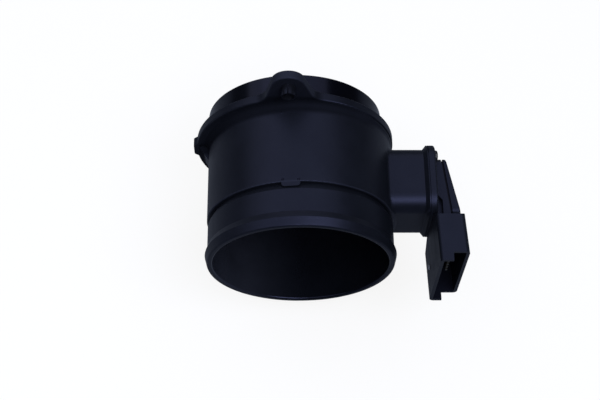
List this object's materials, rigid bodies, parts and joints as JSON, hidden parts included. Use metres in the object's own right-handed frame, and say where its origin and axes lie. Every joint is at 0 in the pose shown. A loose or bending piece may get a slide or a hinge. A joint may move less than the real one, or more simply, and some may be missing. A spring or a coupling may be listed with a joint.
{
  "type": "mass airflow sensor",
  "caption": "Moulded tube that carries engine intake air past a plug-in sensor and reports the flow through a side connector.",
  "frame": {"origin": "centre of the flange's seat face, on the axis of the inlet ring", "axes": "+Y out of the inlet ring along the bore, +X from the bore towards the sensor, +Z towards the front ear"},
  "size_m": [0.1035, 0.07, 0.1056],
  "materials": {
    "tube_plastic": "finely textured moulded black plastic",
    "grid_plastic": "moulded black plastic",
    "spring_steel": "bright spring steel",
    "sleeve_steel": "rolled steel strip with a dark phosphate finish",
    "housing_plastic": "finely textured moulded black plastic",
    "probe_plastic": "moulded black plastic",
    "seal_rubber": "black moulded rubber",
    "board": "pale ceramic board with printed tracks",
    "chip_plastic": "black chip package",
    "lid_plastic": "finely textured moulded black plastic",
    "adhesive": "dark cured adhesive",
    "film_ceramic": "glazed ceramic film carrier",
    "epoxy": "dark epoxy bead on tinned wires",
    "screw_steel": "zinc-plated steel",
    "lead_metal": "tinned lead frame",
    "terminal_metal": "copper alloy with a dull dark tin finish"
  },
  "bodies": {
    "root": {"flow_tube": "tube_plastic", "flow_grid": "grid_plastic", "grid_ring": "spring_steel", "sleeve_front": "sleeve_steel", "sleeve_back": "sleeve_steel", "sensor_housing": "housing_plastic", "probe_cap": "probe_plastic", "neck_seal": "seal_rubber", "circuit_board": "board", "board_chip": "chip_plastic", "housing_lid": "lid_plastic", "lid_bead": "adhesive", "hot_film": "film_ceramic", "reference_film": "film_ceramic", "air_thermistor": "epoxy", "screw_front": "screw_steel", "screw_back": "screw_steel", "sensor_lead_1": "lead_metal", "sensor_lead_2": "lead_metal", "sensor_lead_3": "lead_metal", "sensor_lead_4": "lead_metal", "terminal_1": "terminal_metal", "terminal_2": "terminal_metal", "terminal_3": "terminal_metal", "terminal_4": "terminal_metal", "terminal_5": "terminal_metal"}
  },
  "joints": []
}
